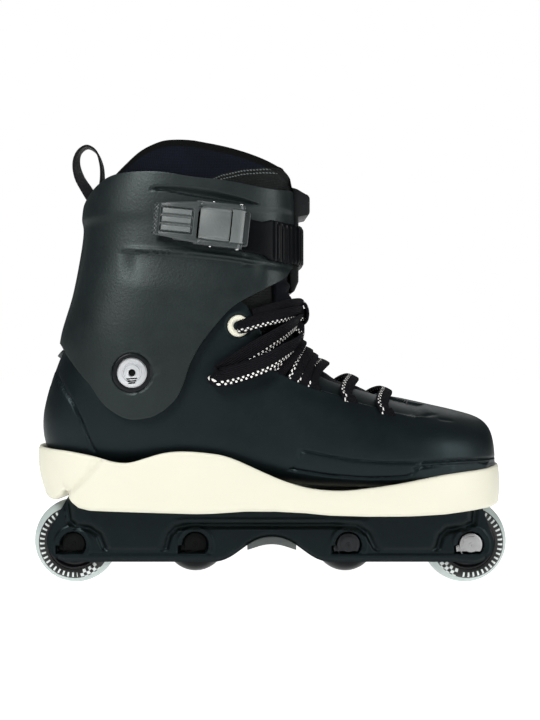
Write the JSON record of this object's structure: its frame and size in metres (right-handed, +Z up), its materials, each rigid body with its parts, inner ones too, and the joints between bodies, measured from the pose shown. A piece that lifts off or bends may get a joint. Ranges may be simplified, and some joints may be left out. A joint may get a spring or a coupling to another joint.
{
  "type": "inline skate",
  "caption": "Street inline skate with a hinged ankle cuff, laced boot, ratchet buckle, cream soul plate, wheels at the ends and small rollers between them.",
  "frame": {"origin": "on the floor under the middle of the skate, midway between the two end axles, on the middle plane of the frame", "axes": "+X to the toe, +Y to the inner (medial) side, +Z up; the buckle is on the -Y side"},
  "size_m": [0.338, 0.1123, 0.3148],
  "materials": {
    "shell": "moulded near-black with a satin grain",
    "cuff": "moulded near-black with a satin grain",
    "cream_plastic": "moulded cream, low sheen",
    "frame": "glass-filled nylon, near-black",
    "block": "dark grey slick plastic",
    "urethane": "cast urethane, pale grey-green",
    "core": "moulded black",
    "roller": "hard black urethane",
    "steel": "bright steel",
    "dark_steel": "blackened steel",
    "liner": "padded mesh and smooth synthetic",
    "insole": "foam with a knitted cover",
    "webbing": "ribbed woven tape",
    "lace": "flat woven lace with light dots",
    "guard": "moulded soft plastic",
    "strap": "ribbed flexible plastic",
    "buckle": "glass-filled nylon, blue-black",
    "stop_rubber": "moulded rubber"
  },
  "bodies": {
    "boot": {"shell": "shell", "soul_plate": "cream_plastic", "frame": "frame", "grind_block": "block", "liner": "liner", "tongue": "liner", "insole": "insole", "cuff_stop": "stop_rubber", "lace_knot": "lace", "frame_bolt_front": "dark_steel", "frame_bolt_rear": "dark_steel", "cuff_bolt_outer": "steel", "cuff_nut_outer": "dark_steel", "eyelet_outer": "cream_plastic", "lace_loop_outer": "lace", "cuff_bolt_inner": "steel", "cuff_nut_inner": "dark_steel", "eyelet_inner": "cream_plastic", "lace_loop_inner": "lace", "lace_row_1": "lace", "lace_row_2": "lace", "lace_row_3": "lace", "lace_row_4": "lace", "axle_front": "steel", "axle_screw_front": "dark_steel", "spacer_front": "steel", "axle_rear": "dark_steel", "axle_screw_rear": "dark_steel", "spacer_rear": "steel", "axle_front_roller": "dark_steel", "axle_screw_front_roller": "dark_steel", "spacer_front_roller": "steel", "axle_rear_roller": "dark_steel", "axle_screw_rear_roller": "dark_steel", "spacer_rear_roller": "steel"},
    "cuff": {"cuff": "cuff", "tongue_guard": "guard", "strap": "strap", "strap_screw": "steel", "buckle_base": "buckle", "lever_pin": "steel", "pull_loop": "webbing"},
    "lever": {"buckle_lever": "buckle", "pawl_pin": "steel"},
    "pawl": {"buckle_pawl": "buckle"},
    "wheel_front": {"tyre_front": "urethane", "core_front": "core", "bearing_front_outer": "steel", "bearing_front_inner": "steel"},
    "wheel_rear": {"tyre_rear": "urethane", "core_rear": "core", "bearing_rear_outer": "steel", "bearing_rear_inner": "steel"},
    "anti_rocker_front": {"roller_front": "roller", "bearing_front_roller_outer": "steel", "bearing_front_roller_inner": "steel"},
    "anti_rocker_rear": {"roller_rear": "roller", "bearing_rear_roller_outer": "steel", "bearing_rear_roller_inner": "steel"}
  },
  "joints": [
    {"name": "cuff_flex", "type": "hinge", "parent": "boot", "child": "cuff", "pos_m": [-0.0953, 0, 0.1505], "axis": [0, 1, 0], "range_deg": [0, 10], "stiffness_Nm_per_rad": 10, "springref_deg": -1.72, "deforming": ["liner", "tongue", "lace_knot", "lace_loop_outer", "lace_loop_inner"]},
    {"name": "buckle_open", "type": "hinge", "parent": "cuff", "child": "lever", "pos_m": [-0.024, -0.0526, 0.2467], "axis": [0.1045, 0, 0.9945], "range_deg": [0, 95]},
    {"name": "pawl_release", "type": "hinge", "parent": "lever", "child": "pawl", "pos_m": [-0.0419, -0.0532, 0.24858], "axis": [0.1045, 0, 0.9945], "range_deg": [0, 8], "stiffness_Nm_per_rad": 0.25},
    {"name": "wheel_front_spin", "type": "hinge", "parent": "boot", "child": "wheel_front", "pos_m": [0.139, 0, 0.03], "axis": [0, 1, 0], "continuous": true},
    {"name": "wheel_rear_spin", "type": "hinge", "parent": "boot", "child": "wheel_rear", "pos_m": [-0.139, 0, 0.03], "axis": [0, 1, 0], "continuous": true},
    {"name": "anti_rocker_front_spin", "type": "hinge", "parent": "boot", "child": "anti_rocker_front", "pos_m": [0.0535, 0, 0.03], "axis": [0, 1, 0], "continuous": true},
    {"name": "anti_rocker_rear_spin", "type": "hinge", "parent": "boot", "child": "anti_rocker_rear", "pos_m": [-0.0535, 0, 0.03], "axis": [0, 1, 0], "continuous": true}
  ]
}
